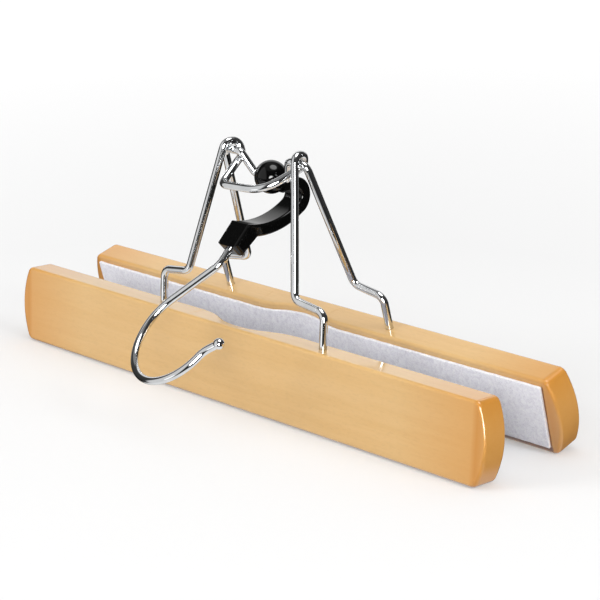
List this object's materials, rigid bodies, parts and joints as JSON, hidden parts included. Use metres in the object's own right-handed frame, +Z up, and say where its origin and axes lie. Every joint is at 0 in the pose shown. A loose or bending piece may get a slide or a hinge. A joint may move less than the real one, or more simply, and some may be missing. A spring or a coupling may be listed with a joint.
{
  "type": "trouser hanger",
  "caption": "Clamp trouser hanger: felt-lined wooden bars on hinged wire frames, shut by a plastic lever that carries a swivelling wire hook.",
  "frame": {"origin": "on the floor, under the middle of the open hanger", "axes": "+X along the bars, +Y from the front bar to the rear bar, +Z up"},
  "size_m": [0.25, 0.0991, 0.0989],
  "materials": {
    "bar_wood": "clear lacquered beech, warm honey colour",
    "felt": "light grey felt",
    "wire": "bright chrome plated steel wire",
    "lever_plastic": "glossy black moulded plastic"
  },
  "bodies": {
    "rear_frame": {"rear_bar": "bar_wood", "rear_felt": "felt", "rear_bail": "wire"},
    "front_frame": {"front_bar": "bar_wood", "front_felt": "felt", "front_bail": "wire"},
    "lever": {"lock_lever": "lever_plastic"},
    "hook": {"hook": "wire"}
  },
  "joints": [
    {"name": "jaw_hinge", "type": "hinge", "parent": "rear_frame", "child": "front_frame", "pos_m": [0, 0.01299, 0.0941], "axis": [1, 0, 0], "range_deg": [0, 19]},
    {"name": "lever_pivot", "type": "hinge", "parent": "rear_frame", "child": "lever", "pos_m": [0, 0.01649, 0.0856], "axis": [-1, 0, 0], "range_deg": [0, 110]},
    {"name": "hook_swivel", "type": "hinge", "parent": "lever", "child": "hook", "pos_m": [0, -0.00571, 0.0616], "axis": [0, -0.7193, -0.6947], "continuous": true}
  ],
  "couplings": [
    {"joint": "jaw_hinge", "follows": "lever_pivot", "ratio": 0.17273}
  ]
}
